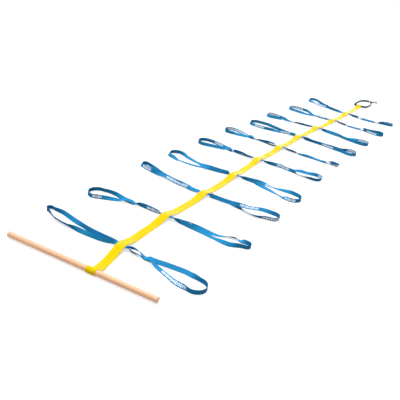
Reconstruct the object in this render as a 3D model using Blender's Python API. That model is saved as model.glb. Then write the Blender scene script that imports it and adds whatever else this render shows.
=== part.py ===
"""Agility ladder: a flat webbing strap with ten rungs of paired hand loops.

A wooden bar runs through a sewn eye at the near end, and a tape loop with a snap clip hangs in the far eye.
The strap lies along +Y on the floor, z = 0, and the origin is on the floor under the middle of the strap.
"""

import math

import bmesh
import bpy
from mathutils import Vector

# Driving sizes, in metres
RUNGS = 10
RUNG_SPACING = 0.420
FIRST_RUNG = 0.268
TAIL_LENGTH = 0.510
STRAP_WIDTH = 0.050
STRAP_THICKNESS = 0.0024
TAPE_WIDTH = 0.025
TAPE_THICKNESS = 0.0016
LOOP_REACH = 0.460
BAR_LENGTH = 0.810
BAR_DIAMETER = 0.028
END_LOOP_LENGTH = 0.385
END_LOOP_WIDTH = 0.140
END_TAPE_WIDTH = 0.020
CLIP_LENGTH = 0.090
CLIP_WIDTH = 0.048
CLIP_ROD = 0.0072

# Gaps between touching pieces
CLEARANCE = 0.0003
PLY_GAP = 0.0005
CUT_OVERRUN = 0.002

# Edges sharper than this stay sharp, and a face further out of flat than this is made of two triangles
SHARP_ANGLE = math.radians(40)
FLATNESS = 0.000001

# The wooden bar
BAR_EDGE = 0.0035
BAR_EDGE_SHARE = 0.3
BAR_SKEW = math.radians(2.7)
BAR_SIDES = 24

# How the strap lies: its height at a rung, and its sideways drift as shares of the rung spacing
STRAP_LIFT = 0.020
LIFT_RUN = 0.120
LIFT_STEPS = 6
RIDGE_MARGIN = 0.006
BAR_DRIFT_SHARE = -0.008
EYE_DRIFT_SHARE = 0.155
RUNG_DRIFT_SHARES = (0.066, 0.020, 0.028, 0.015, -0.007, 0.007, 0.021, 0.071, 0.143, 0.179)
END_DRIFT_SHARE = 0.195

# The sewn eyes
EYE_FALL = 0.024
EYE_LAP = 0.030
EYE_STEPS = 16
PLY_RUN = 0.025

# Each hand loop, first as shares of LOOP_REACH: its reach, swing and bow to the side, then the parting
# of its strands at each PARTING_PLACE_SHARES; then, in degrees, the tape's roll at ROLL_RUN and at each
# ROLL_PLACE_SHARES, how far the strands lean apart at each LEAN_PLACE_SHARES and how far both lean one way
LEFT_LOOP_SHARES = (
    ((1.057, 0.089, -0.116), (0.059, 0.077, 0.101, 0.133, 0.152, 0.081),
     (78, 74, 66, 81, 97, 103), (-9, 35, 26, -4), (0, 0, 0, 0)),
    ((1.000, -0.106, 0.152), (0.004, 0.017, 0.009, 0.054, 0.169, 0.241),
     (118, 86, 131, 224, 252, 274), (-18, -14, -14, -8), (41, 43, 14, -4)),
    ((1.090, 0.215, 0.035), (0.004, 0.054, 0.033, 0.040, 0.102, 0.115),
     (22, 44, 76, 67, 98, 91), (-22, -17, 6, -16), (8, 23, 29, 13)),
    ((1.062, 0.027, -0.188), (0.053, 0.059, 0.064, 0.184, 0.255, 0.234),
     (80, 70, 74, 59, 48, 87), (-14, -1, -21, -19), (45, 75, 74, 18)),
    ((1.038, 0.019, 0.159), (0.009, 0.028, 0.019, 0.081, 0.175, 0.243),
     (160, 137, 134, 229, 257, 270), (-2, -6, -7, -7), (12, 11, 16, 4)),
    ((1.040, 0.067, 0.186), (0.050, 0.022, 0.004, 0.067, 0.144, 0.219),
     (156, 132, 147, 194, 249, 269), (10, 2, -13, 1), (6, 20, 32, 7)),
    ((0.951, 0.029, 0.043), (0.045, 0.049, 0.126, 0.219, 0.291, 0.270),
     (66, 72, 96, 97, 92, 85), (-25, 2, -6, -11), (43, 22, 16, 10)),
    ((1.000, -0.047, -0.047), (0.004, 0.012, 0.004, 0.005, 0.120, 0.207),
     (167, 137, 144, 182, 252, 270), (9, 0, -17, -10), (6, 7, -1, 21)),
    ((0.972, 0.091, 0.067), (0.022, 0.020, 0.112, 0.225, 0.272, 0.270),
     (7, 15, 1, 51, 91, 89), (31, -9, -15, -9), (28, 36, 19, 20)),
    ((0.966, 0.400, 0.105), (0.004, 0.004, 0.006, 0.109, 0.199, 0.270),
     (11, 73, 97, 120, 109, 87), (-9, -19, -19, -19), (25, 58, 55, 36)),
)
RIGHT_LOOP_SHARES = (
    ((1.010, -0.100, 0.000), (0.050, 0.010, 0.070, 0.150, 0.230, 0.230),
     (120, 145, 230, 255, 258, 264), (-20, -18, -3, 3), (50, 52, 44, -10)),
    ((1.022, 0.071, -0.020), (0.007, 0.050, 0.057, 0.101, 0.212, 0.108),
     (146, 75, 76, 70, 65, 91), (-1, 3, 50, 5), (41, 75, 74, -4)),
    ((0.984, 0.078, 0.021), (0.032, 0.031, 0.062, 0.146, 0.244, 0.183),
     (79, 68, 65, 78, 89, 90), (-2, 60, 47, 11), (1, -5, 0, -2)),
    ((0.999, -0.042, 0.186), (0.004, 0.036, 0.118, 0.172, 0.213, 0.259),
     (177, 85, 78, 63, 68, 108), (3, 9, -25, -4), (41, 75, 72, 38)),
    ((0.989, 0.058, 0.123), (0.004, 0.015, 0.077, 0.137, 0.183, 0.215),
     (143, 93, 55, 33, 94, 92), (39, 53, 60, 18), (-5, -28, 3, -3)),
    ((0.996, 0.002, 0.062), (0.013, 0.012, 0.023, 0.008, 0.022, 0.051),
     (160, 149, 160, 158, 158, 96), (-8, 3, 14, 24), (0, 1, -3, -1)),
    ((1.044, -0.025, -0.119), (0.031, 0.004, 0.004, 0.067, 0.112, 0.221),
     (175, 117, 85, 91, 98, 77), (-9, -20, -25, -10), (2, 3, -5, 4)),
    ((1.016, -0.095, -0.231), (0.007, 0.036, 0.043, 0.101, 0.166, 0.218),
     (145, 67, 48, 60, 76, 86), (24, 30, 13, 1), (7, 29, 19, 7)),
    ((1.025, -0.027, -0.181), (0.011, 0.016, 0.013, 0.029, 0.113, 0.209),
     (169, 154, 174, 177, 113, 88), (11, 7, -8, -8), (20, 36, 34, 10)),
    ((0.979, 0.086, -0.240), (0.021, 0.029, 0.019, 0.018, 0.034, 0.051),
     (152, 150, 161, 160, 147, 100), (-4, 2, -6, -1), (10, 21, 21, 26)),
)
PARTING_PLACE_SHARES = (0.12, 0.27, 0.45, 0.63, 0.82, 1.0)
ROLL_PLACE_SHARES = (0.20, 0.38, 0.56, 0.78, 1.0)
LEAN_PLACE_SHARES = (0.27, 0.45, 0.63, 0.82, 1.0)
ROLL_RUN = 0.024
ROOT_HOLD = 0.003
ROOT_FALL = 0.110
# A tape with more roll than this at its root starts turned over, and so twists the short way
UNDER_ROLL = 78
APART_START_SHARE = 0.5
LOOP_STEPS = 18
ROOT_CROWDING = 1.45
TIP_STEPS = 6

# The end loop: its middle line as shares of its length, and its half outline from the eye to the
# clip, each point as shares of its width and of the way along the middle line
END_LINE_SHARES = ((0.0, 0.0), (0.026, 0.36), (0.031, 0.70), (0.055, 0.90), (0.125, 1.0))
END_HALF_SHARES = (
    (0.0, 0.0),
    (0.2, 0.0),
    (0.27, 0.0),
    (0.43, 0.035),
    (0.5, 0.13),
    (0.5, 0.42),
    (0.36, 0.66),
    (0.12, 0.84),
)
END_TWIST_SHARES = (0.80, 0.96)
END_FALL_SHARE = 0.13
END_LOOP_STEPS = 4

# The snap clip: the corners of its bent rod as shares of its width and length, from the pivot to the
# bend over the nose, each bend's reach, and the nose's end as a share of the way from pivot to bend
CLIP_CORNER_SHARES = (
    (0.44, 0.18),
    (0.41, 0.0),
    (-0.41, 0.0),
    (-0.5, 0.64),
    (-0.34, 1.0),
    (0.34, 1.0),
    (0.5, 0.78),
)
CLIP_BEND_SHARES = (0.05, 0.05, 0.16, 0.17, 0.13, 0.08)
CLIP_NOSE_SHARE = 0.84
CLIP_SIDES = 10
BEND_STEPS = 4
GATE_DIAMETER = 0.0062
GATE_GAP = 0.0006
PIVOT_TAB = 0.0028
PIVOT_SHOULDER = 0.0043
RIVET_DIAMETER = 0.0026
RIVET_HEAD = 0.0042
RIVET_HEAD_HEIGHT = 0.0006
RIVET_SIDES = 12

ACROSS = Vector((1, 0, 0))
ALONG = Vector((0, 1, 0))
UP = Vector((0, 0, 1))

# Sizes that follow from these
EYE_RADIUS = BAR_DIAMETER / 2 + CLEARANCE
END_EYE_RADIUS = math.hypot(END_TAPE_WIDTH, TAPE_THICKNESS) / 2 + CLEARANCE
RIDGE_HALF = TAPE_WIDTH / 2 + RIDGE_MARGIN
PAIR_GAP = TAPE_THICKNESS + PLY_GAP
PAIR_THICKNESS = PAIR_GAP + TAPE_THICKNESS
ROOT_HEIGHT = STRAP_LIFT - CLEARANCE - PAIR_THICKNESS / 2
BIGHT_RADIUS = CLIP_ROD / 2 + CLEARANCE + TAPE_THICKNESS / 2
CLIP_HEIGHT = CLIP_ROD / 2 + CLEARANCE + TAPE_THICKNESS


def rung_place(number):
    """The floor point under the middle of a rung, counted from 1."""
    middle = (RUNGS + 1) / 2
    return Vector((RUNG_DRIFT_SHARES[number - 1] * RUNG_SPACING, (number - middle) * RUNG_SPACING, 0))


def eye_place():
    """The middle of the bar's eye."""
    height = EYE_RADIUS + STRAP_THICKNESS
    return Vector((EYE_DRIFT_SHARE * RUNG_SPACING, rung_place(1).y - FIRST_RUNG, height))


def end_eye_place():
    """The middle of the far eye."""
    height = END_EYE_RADIUS + STRAP_THICKNESS
    return Vector((END_DRIFT_SHARE * RUNG_SPACING, rung_place(RUNGS).y + TAIL_LENGTH, height))


def fold_y(number):
    """Where the strap folds, just past a rung."""
    return rung_place(number).y + RIDGE_HALF


# Curves
def eased(stations, at):
    """The value at a place along stations (place, value): smooth, and level at its ends, highs and lows."""
    rises = [(b - a) / (end - start) for (start, a), (end, b) in zip(stations, stations[1:])]
    slopes = [2 * p * q / (p + q) if p * q > 0 else 0 for p, q in zip([0, *rises], [*rises, 0])]
    for i, ((start, first), (end, second)) in enumerate(zip(stations, stations[1:])):
        if at <= end:
            run, t = end - start, (at - start) / (end - start)
            bend = slopes[i] * (1 - t) - slopes[i + 1] * t
            return first + (second - first) * t * t * (3 - 2 * t) + bend * run * t * (1 - t)
    return stations[-1][1]


def through(points, steps):
    """A smooth curve through points, with this many steps from each to the next."""
    ends = [2 * points[0] - points[1], *points, 2 * points[-1] - points[-2]]
    curve = []
    for a, b, c, d in zip(ends, ends[1:], ends[2:], ends[3:]):
        for step in range(steps):
            t = step / steps
            bend = (2 * a - 5 * b + 4 * c - d) * t * t + (3 * b - 3 * c + d - a) * t**3
            curve.append(b + ((c - a) * t + bend) / 2)
    return [*curve, points[-1]]


# Mesh helpers
def material(name, colour, roughness, metallic=0.0):
    """A plain material from an sRGB colour."""
    made = bpy.data.materials.new(name)
    made.use_nodes = True
    linear = [((c / 255 + 0.055) / 1.055) ** 2.4 for c in colour]
    shader = made.node_tree.nodes["Principled BSDF"]
    shader.inputs["Base Color"].default_value = (*linear, 1)
    shader.inputs["Roughness"].default_value = roughness
    shader.inputs["Metallic"].default_value = metallic
    made.diffuse_color = (*linear, 1)
    return made


def solid(name, vertices, faces, finish, origin):
    """A closed mesh object with its origin at a place."""
    mesh = bpy.data.meshes.new(name)
    mesh.from_pydata([v - origin for v in vertices], [], faces)
    model = bmesh.new()
    model.from_mesh(mesh)
    bmesh.ops.recalc_face_normals(model, faces=model.faces)
    model.to_mesh(mesh)
    model.free()
    mesh.shade_smooth()
    mesh.set_sharp_from_angle(angle=SHARP_ANGLE)
    mesh.materials.append(finish)
    piece = bpy.data.objects.new(name, mesh)
    piece.location = origin
    bpy.context.collection.objects.link(piece)
    return piece


def facets(corners, vertices, turned):
    """A four-sided face, or two triangles if it isn't flat, split along its other diagonal when turned."""
    a, b, c, d = corners
    place = vertices[a]
    normal = (vertices[c] - place).cross(vertices[d] - vertices[b]).normalized()
    if abs(normal.dot(vertices[b] - place)) < FLATNESS:
        return [corners]
    return [(a, b, d), (b, c, d)] if turned else [(a, b, c), (a, c, d)]


def skin(name, rings, finish, origin, closed=False):
    """A body through rings of points, capped at both ends, or joined end to end if closed.

    The faces opposite each other are split the same way, so that a twisted tape keeps its thickness.
    """
    count = len(rings[0])
    vertices = [v for ring in rings for v in ring]
    faces = []
    for i in range(len(rings) if closed else len(rings) - 1):
        here, there = i * count, (i + 1) % len(rings) * count
        for k in range(count):
            n = (k + 1) % count
            faces += facets((here + k, here + n, there + n, there + k), vertices, 2 * k >= count)
    if not closed:
        faces.append(tuple(range(count)))
        faces.append(tuple(range(len(vertices) - count, len(vertices))))
    return solid(name, vertices, faces, finish, origin)


def tape_rings(points, sides, width, thickness, closed=False):
    """The four corners of a flat tape at each point, its width lying along a side direction there."""
    rings = []
    for i, (point, side) in enumerate(zip(points, sides)):
        before = points[i - 1] if i or closed else point
        after = points[(i + 1) % len(points)] if closed or i + 1 < len(points) else point
        face = (after - before).cross(side).normalized() * thickness / 2
        edge = side.normalized() * width / 2
        rings.append([point - edge - face, point + edge - face, point + edge + face, point - edge + face])
    return rings


def round_ring(centre, ahead, radius, sides):
    """Points round a centre, square to a direction, with a flat face up and down."""
    side = ahead.cross(UP).normalized()
    lift = side.cross(ahead).normalized()
    turns = [2 * math.pi * (k + 0.5) / sides for k in range(sides)]
    return [centre + (side * math.sin(a) + lift * math.cos(a)) * radius for a in turns]


def prism(name, outline, width, finish, origin, across):
    """An outline, each point a distance ahead and a height, given width along a level direction."""
    half = across * width / 2
    ahead = UP.cross(across)
    points = [origin + ahead * y + UP * z for y, z in outline]
    return skin(name, [[p - half for p in points], [p + half for p in points]], finish, origin)


def cut(piece, cutter):
    """Take a cutter's shape out of a piece."""
    step = piece.modifiers.new("cut", "BOOLEAN")
    step.operation = "DIFFERENCE"
    step.solver = "EXACT"
    step.object = cutter
    cutter.hide_render = True
    cutter.display_type = "WIRE"


# The wooden bar
def wooden_bar(finish):
    """A dowel with eased ends, a little skew to the strap."""
    half, radius = BAR_LENGTH / 2, BAR_DIAMETER / 2
    ease = BAR_EDGE * BAR_EDGE_SHARE
    end = [(-half, radius - BAR_EDGE), (-half + ease, radius - ease), (-half + BAR_EDGE, radius)]
    profile = end + [(-x, r) for x, r in reversed(end)]
    direction = bar_way()
    eye = eye_place()
    middle = eye + direction * (BAR_DRIFT_SHARE * RUNG_SPACING - eye.x) / direction.x
    rings = [round_ring(middle + direction * x, direction, r, BAR_SIDES) for x, r in profile]
    return skin("wooden_bar", rings, finish, middle)


# The strap
def sewn_eye(name, place, radius, across, finish):
    """The strap's end turned round a bore and lapped under itself, the lap to the left of across."""
    outer = radius + STRAP_THICKNESS
    start = Vector((EYE_FALL + radius, 2 * STRAP_THICKNESS - outer))
    first = math.atan2(start.y, start.x) + math.acos(outer / start.length)
    last = math.radians(270)
    turns = [first + (last - first) * step / EYE_STEPS for step in range(EYE_STEPS + 1)]
    ways = [Vector((math.cos(a), math.sin(a))) for a in turns]
    nook = radius * (1 + math.sin(first)) / math.cos(first)
    tail = start.x + EYE_LAP
    outline = [(tail, -outer), (tail, start.y), start, *[way * outer for way in ways]]
    hollow = [(nook, -radius), *[way * radius for way in ways]]
    piece = prism(name, outline, STRAP_WIDTH, finish, place, across)
    bore = prism(name + "_bore", hollow, STRAP_WIDTH + 2 * CUT_OVERRUN, finish, place, across)
    cut(piece, bore)
    return piece


def lap_end(place, radius, across):
    """The floor point where a sewn eye's lap ends, a clearance further on."""
    ahead = UP.cross(across) * (EYE_FALL + radius + EYE_LAP + CLEARANCE)
    return Vector((place.x + ahead.x, place.y + ahead.y, 0))


def bar_way():
    """The direction of the bar, and so of its eye, a little skew to the strap."""
    return Vector((math.cos(BAR_SKEW), math.sin(BAR_SKEW), 0))


def strap_rings(start, end, start_run, end_run, ridge, skew=0.0):
    """The strap from start to end, resting on the floor between its two raised ends."""
    top = end.y - ridge
    parts = [k / LIFT_STEPS for k in range(LIFT_STEPS + 1)]
    fall = [(start.y + start_run * t, start.z * (1 - t) ** 2) for t in parts]
    rise = [(top - end_run * t, end.z * (1 - t) ** 2) for t in parts]
    stations = fall + rise[::-1]
    if ridge:
        stations.append((end.y, end.z))
    rings = []
    for y, z in stations:
        x = start.x + (end.x - start.x) * min((y - start.y) / (top - start.y), 1)
        half = STRAP_WIDTH / 2
        slant = half * math.tan(skew) * max(1 - (y - start.y) / start_run, 0)
        low = [Vector((x - half, y - slant, z)), Vector((x + half, y + slant, z))]
        rings.append(low + [v + UP * STRAP_THICKNESS for v in reversed(low)])
    return rings


def strap_section(number, finish):
    """One length of strap between two folds, counted from the bar."""
    start_run, end_run, ridge, skew = LIFT_RUN, LIFT_RUN, 2 * RIDGE_HALF, 0.0
    if number == 1:
        start = lap_end(eye_place(), EYE_RADIUS, bar_way()) + UP * STRAP_THICKNESS
        start_run, skew = PLY_RUN, BAR_SKEW
    else:
        start = Vector((rung_place(number - 1).x, fold_y(number - 1) + CLEARANCE / 2, STRAP_LIFT))
    if number > RUNGS:
        end = lap_end(end_eye_place(), END_EYE_RADIUS, -ACROSS) + UP * STRAP_THICKNESS
        end_run, ridge = PLY_RUN, 0
    else:
        end = Vector((rung_place(number).x, fold_y(number) - CLEARANCE / 2, STRAP_LIFT))
    rings = strap_rings(start, end, start_run, end_run, ridge, skew)
    return skin(f"strap_section_{number}", rings, finish, start)


def rung_tape(number, finish):
    """The two plies of tape sewn flat under the strap between a rung's loops."""
    place = rung_place(number) + UP * ROOT_HEIGHT
    half = ACROSS * STRAP_WIDTH / 2
    rings = tape_rings([place - half, place + half], [ALONG, ALONG], TAPE_WIDTH, PAIR_THICKNESS)
    return skin(f"rung_tape_{number}", rings, finish, place)


def laid_down(rings, facing, places, height, fall, alone):
    """A loop's rings, held at a height at place 0 and let down until, past the fall, they rest on the floor.

    Facing holds the ring across the loop from each. The two rest at one height, but for the share alone.
    """
    settled = []
    for ring, other, at, free in zip(rings, facing, places, alone):
        own = min(v.z for v in ring)
        lowest = own * free + min(own, min(v.z for v in other)) * (1 - free)
        held = min(max(1 - at / fall, 0), 1) ** 2
        lift = UP * (height * held - lowest * (1 - held))
        settled.append([v + lift for v in ring])
    return settled


# The hand loops
def loop_stations(shares):
    """How a hand loop's strands part, roll, lean apart and tilt along its reach, from its row of shares."""
    _, parts, rolls, leans, tilts = shares
    least = PAIR_GAP / LOOP_REACH
    parting = ((0, least), *[(at, max(part, least)) for at, part in zip(PARTING_PLACE_SHARES, parts)])
    flat = 180 if rolls[0] > UNDER_ROLL else 0
    places = (ROLL_RUN / LOOP_REACH, *ROLL_PLACE_SHARES)
    roll = ((0, flat), (ROOT_HOLD / LOOP_REACH, flat), *zip(places, rolls))
    leaning, tilting = (((0, 0), *zip(LEAN_PLACE_SHARES, (0, *turns))) for turns in (leans, tilts))
    return parting, roll, leaning, tilting


def held_turn(turn, most):
    """A turn, held to the most that there is room for either way."""
    return min(max(turn, -most), most)


def apart_share(half):
    """How far a strand this far from the loop's middle line rests on the floor without the other."""
    share = min(max(2 * half / TAPE_WIDTH - APART_START_SHARE, 0), 1)
    return share * share * (3 - 2 * share)


def loop_path(side, shares):
    """One hand loop from root to tip and back: points, width directions, shares and how far each rests alone.

    Side is +1 on the right and -1 on the left. Points are from the rung's middle, on the floor.
    """
    reach, swing, bow = (share * LOOP_REACH for share in shares[0])
    parting, roll, leaning, tilting = loop_stations(shares)
    tip_radius = parting[-1][1] * LOOP_REACH / 2
    outward = ACROSS * side

    def place(at, strand, turned=0.0):
        """A point at a share of the reach, on the strand at +1 or -1, or on the round of the tip."""
        angle = math.radians(eased(roll, at))
        width = Vector((0, math.cos(angle), math.sin(angle)))
        apart = width.cross(ACROSS) * strand * math.cos(turned) + outward * math.sin(turned)
        root = outward * (STRAP_WIDTH / 2 + CLEARANCE)
        centre = root + (outward * (reach - tip_radius) + ALONG * (swing * at + bow * (1 - at))) * at
        half = eased(parting, at) * LOOP_REACH / 2
        lean = math.radians(eased(leaning, at)) * math.sin(angle)
        tilt = math.radians(eased(tilting, at)) * math.sin(angle) ** 2
        lean = held_turn(lean, math.asin(min((half - PAIR_GAP / 2) / (TAPE_WIDTH / 2), 1)))
        lean += held_turn(tilt, math.acos(min(PAIR_GAP / 2 / half, 1))) * strand * math.cos(turned)
        lying = width * math.cos(lean) + apart * math.sin(lean)
        return centre + apart * half, lying, at, apart_share(half)

    shares_out = [(step / LOOP_STEPS) ** ROOT_CROWDING for step in range(LOOP_STEPS + 1)]
    shares_out.insert(1, ROOT_HOLD / LOOP_REACH)
    bend = [place(1, 1, math.pi * step / TIP_STEPS) for step in range(1, TIP_STEPS)]
    return [place(at, 1) for at in shares_out] + bend + [place(at, -1) for at in reversed(shares_out)]


def hand_loop(number, side, finish):
    """One hand loop, lying on the floor beyond its sewn root under the strap."""
    shares = (RIGHT_LOOP_SHARES if side > 0 else LEFT_LOOP_SHARES)[number - 1]
    points, widths, places, alone = zip(*loop_path(side, shares))
    place = rung_place(number)
    points = [place + point for point in points]
    rings = tape_rings(points, widths, TAPE_WIDTH, TAPE_THICKNESS)
    fall = ROOT_FALL / (shares[0][0] * LOOP_REACH)
    rings = laid_down(rings, rings[::-1], places, ROOT_HEIGHT, fall, alone)
    hinge = place + ACROSS * side * (STRAP_WIDTH / 2 + CLEARANCE) + UP * (ROOT_HEIGHT + PAIR_THICKNESS / 2)
    name = "right_loop" if side > 0 else "left_loop"
    return skin(f"{name}_{number}", rings, finish, hinge)


# The end loop and its clip
def end_line():
    """The middle line of the end loop, from the far eye to the bight that holds the clip."""
    eye = end_eye_place()
    flat = Vector((eye.x, eye.y, 0))
    points = [flat + (ACROSS * x + ALONG * y) * END_LOOP_LENGTH for x, y in END_LINE_SHARES]
    return through(points, END_LOOP_STEPS)


def along_line(line, share):
    """The point and heading at a share of a line's points."""
    place = min(max(share, 0), 1) * (len(line) - 1)
    i = min(int(place), len(line) - 2)
    return line[i].lerp(line[i + 1], place - i), (line[i + 1] - line[i]).normalized()


def end_loop(finish):
    """A closed loop of tape: through the far eye on its edge, then round the clip's end bar lying flat."""
    line = end_line()
    half = [Vector((x * END_LOOP_WIDTH, y, 0)) for x, y in END_HALF_SHARES] + [Vector((BIGHT_RADIUS, 1, 0))]
    spread = through(half, END_LOOP_STEPS)
    twist = ((0, 90), *zip(END_TWIST_SHARES, (90, 0)), (1, 0))
    strands = []
    for strand in (1, -1):
        stations = []
        for x, y, _ in spread:
            point, heading = along_line(line, y)
            right = (heading if y > 0 else ALONG).cross(UP)
            angle = math.radians(eased(twist, max(y, 0)))
            lateral = right * math.sin(angle) + UP * math.cos(angle)
            stations.append((point + lateral * x * strand, UP * math.sin(angle) - right * math.cos(angle), y))
        strands.append(stations)
    there, back = strands
    bight, heading = along_line(line, 1)
    bend = []
    for step in range(1, TIP_STEPS):
        angle = math.pi * step / TIP_STEPS
        round_clip = UP * math.cos(angle) + heading * math.sin(angle)
        bend.append((bight + round_clip * BIGHT_RADIUS, there[-1][1], 1))
    points, sides, places = zip(*there, *bend, *back[:0:-1])
    rings = tape_rings(points, sides, END_TAPE_WIDTH, TAPE_THICKNESS, closed=True)
    held = [[v + UP * CLIP_HEIGHT for v in ring] for ring in rings[len(there) : len(there) + len(bend)]]
    facing, together = rings[:1] + rings[:0:-1], [0] * len(rings)
    rings = laid_down(rings, facing, places, end_eye_place().z, END_FALL_SHARE, together)
    rings[len(there) : len(there) + len(bend)] = held
    return skin("end_loop", rings, finish, end_eye_place(), closed=True)


def clip_place(x, y, z=0.0):
    """A point of the clip, from shares of its width and length and a height over its middle plane."""
    bight, heading = along_line(end_line(), 1)
    width, length = CLIP_WIDTH - CLIP_ROD, CLIP_LENGTH - CLIP_ROD
    return bight + heading.cross(UP) * x * width + heading * y * length + UP * (CLIP_HEIGHT + z)


def clip_line():
    """The middle line of the clip's bent rod, with its corners rounded."""
    corners = [clip_place(x, y) for x, y in CLIP_CORNER_SHARES]
    corners.append(corners[0].lerp(corners[-1], CLIP_NOSE_SHARE))
    line = [corners[0]]
    for before, corner, after, share in zip(corners, corners[1:], corners[2:], CLIP_BEND_SHARES):
        back = (before - corner).normalized() * share * CLIP_LENGTH
        ahead = (after - corner).normalized() * share * CLIP_LENGTH
        for step in range(BEND_STEPS + 1):
            t = step / BEND_STEPS
            line.append(corner + back * (1 - t) ** 2 + ahead * t * t)
    return [*line, corners[-1]]


def rod_rings(line, diameter, sides):
    """A round rod along a line."""
    rings = []
    for i, point in enumerate(line):
        ahead = line[min(i + 1, len(line) - 1)] - line[max(i - 1, 0)]
        rings.append(round_ring(point, ahead.normalized(), diameter / 2, sides))
    return rings


def block(name, centre, ahead, low, high, finish):
    """A square block wider than the rod, turned along a direction, between two heights over its centre."""
    side = ahead.cross(UP).normalized() * CLIP_ROD
    reach = ahead * CLIP_ROD
    base = [centre - reach - side, centre + reach - side, centre + reach + side, centre - reach + side]
    return skin(name, [[p + UP * low for p in base], [p + UP * high for p in base]], finish, centre)


def pivot():
    """The clip gate's pivot and the direction of the closed gate."""
    line = clip_line()
    reach = line[-1] - line[0]
    return line[0], reach.normalized(), reach.length


def clip_body(finish):
    """The bent rod, halved at the pivot."""
    foot, gate_way, _ = pivot()
    line = clip_line()
    lead_in = (line[1] - foot).normalized()
    line[0] = foot - lead_in * PIVOT_TAB
    body = skin("clip_body", rod_rings(line, CLIP_ROD, CLIP_SIDES), finish, clip_place(0, 0))
    shoulder = foot + lead_in * (PIVOT_SHOULDER - CLIP_ROD)
    step = block("clip_body_step", shoulder, lead_in, -CLEARANCE / 2, CLIP_ROD, finish)
    cut(body, step)
    cut(body, rivet_hole("clip_body_hole", foot, finish))
    return body


def rivet_hole(name, foot, finish):
    """The hole that the rivet passes through."""
    reach = CLIP_ROD / 2 + CUT_OVERRUN
    rings = [
        flat_ring(foot - UP * reach, RIVET_DIAMETER / 2 + CLEARANCE),
        flat_ring(foot + UP * reach, RIVET_DIAMETER / 2 + CLEARANCE),
    ]
    return skin(name, rings, finish, foot)


def flat_ring(centre, radius):
    """Points round an upright axis."""
    turns = [2 * math.pi * k / RIVET_SIDES for k in range(RIVET_SIDES)]
    return [centre + Vector((math.cos(a), math.sin(a), 0)) * radius for a in turns]


def clip_gate(finish):
    """The gate: a straight rod from the pivot to just short of the nose."""
    foot, way, reach = pivot()
    line = [foot - way * PIVOT_TAB, foot + way * (reach - GATE_GAP)]
    gate = skin("clip_gate", rod_rings(line, GATE_DIAMETER, CLIP_SIDES), finish, foot)
    shoulder = foot - way * (CLIP_ROD - PIVOT_SHOULDER)
    step = block("clip_gate_step", shoulder, way, -CLIP_ROD, CLEARANCE / 2, finish)
    cut(gate, step)
    cut(gate, rivet_hole("clip_gate_hole", foot, finish))
    return gate


def gate_rivet(finish):
    """The rivet that the gate turns on, with a flat head at each end."""
    foot, _, _ = pivot()
    half = CLIP_ROD / 2 + CLEARANCE
    shaft, head = RIVET_DIAMETER / 2, RIVET_HEAD / 2
    top = half + RIVET_HEAD_HEIGHT
    profile = ((-top, head), (-half, head), (-half, shaft), (half, shaft), (half, head), (top, head))
    rings = [flat_ring(foot + UP * z, radius) for z, radius in profile]
    return skin("gate_rivet", rings, finish, foot)


# Build
def build():
    """Make every piece."""
    for old in list(bpy.data.objects):
        bpy.data.objects.remove(old, do_unlink=True)
    beech = material("beech", (232, 190, 148), 0.55)
    webbing = material("yellow_webbing", (255, 226, 0), 0.8)
    tape = material("blue_tape", (42, 143, 208), 0.75)
    dark_tape = material("teal_tape", (44, 110, 120), 0.75)
    metal = material("grey_metal", (128, 130, 134), 0.4, 1.0)
    red = material("red_anodised", (150, 32, 48), 0.35, 1.0)
    steel = material("steel", (190, 190, 192), 0.3, 1.0)

    wooden_bar(beech)
    sewn_eye("bar_eye", eye_place(), EYE_RADIUS, bar_way(), webbing)
    for number in range(1, RUNGS + 2):
        strap_section(number, webbing)
    for number in range(1, RUNGS + 1):
        rung_tape(number, tape)
        hand_loop(number, -1, tape)
        hand_loop(number, 1, tape)
    sewn_eye("end_eye", end_eye_place(), END_EYE_RADIUS, -ACROSS, webbing)
    end_loop(dark_tape)
    clip_body(metal)
    clip_gate(red)
    gate_rivet(steel)


build()
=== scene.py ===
"""The looks of a webbing agility ladder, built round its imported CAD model."""

import math

import bpy
from mathutils import Matrix, Vector


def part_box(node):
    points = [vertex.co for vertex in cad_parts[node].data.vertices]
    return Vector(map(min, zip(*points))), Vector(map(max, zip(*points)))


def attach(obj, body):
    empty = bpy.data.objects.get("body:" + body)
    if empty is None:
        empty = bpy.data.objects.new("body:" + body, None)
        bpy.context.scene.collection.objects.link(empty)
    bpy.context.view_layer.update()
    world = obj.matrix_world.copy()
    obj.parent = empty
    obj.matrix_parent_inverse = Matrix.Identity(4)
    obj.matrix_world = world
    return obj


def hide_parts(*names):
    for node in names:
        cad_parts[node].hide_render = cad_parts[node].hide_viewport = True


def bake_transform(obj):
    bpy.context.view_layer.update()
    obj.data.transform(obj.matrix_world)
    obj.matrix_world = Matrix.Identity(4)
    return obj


bl_info = {
    "name": "Webbing agility ladder",
    "version": (1, 0, 0),
    "blender": (4, 5, 0),
    "location": "3D View > Sidebar > Ladder",
    "description": "Builds a centre-strap agility ladder with hand-loop rungs, a wooden bar and a snap clip",
    "category": "Add Mesh",
}

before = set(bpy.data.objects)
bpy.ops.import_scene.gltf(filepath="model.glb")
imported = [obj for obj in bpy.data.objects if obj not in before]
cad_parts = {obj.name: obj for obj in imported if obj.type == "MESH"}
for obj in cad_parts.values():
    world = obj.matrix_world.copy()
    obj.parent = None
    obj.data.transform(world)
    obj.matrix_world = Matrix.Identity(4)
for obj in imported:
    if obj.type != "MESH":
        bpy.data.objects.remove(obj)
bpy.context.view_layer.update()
TAU = 2 * math.pi
ACROSS = Vector((1, 0, 0))
ALONG = Vector((0, 1, 0))
UP = Vector((0, 0, 1))

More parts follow.
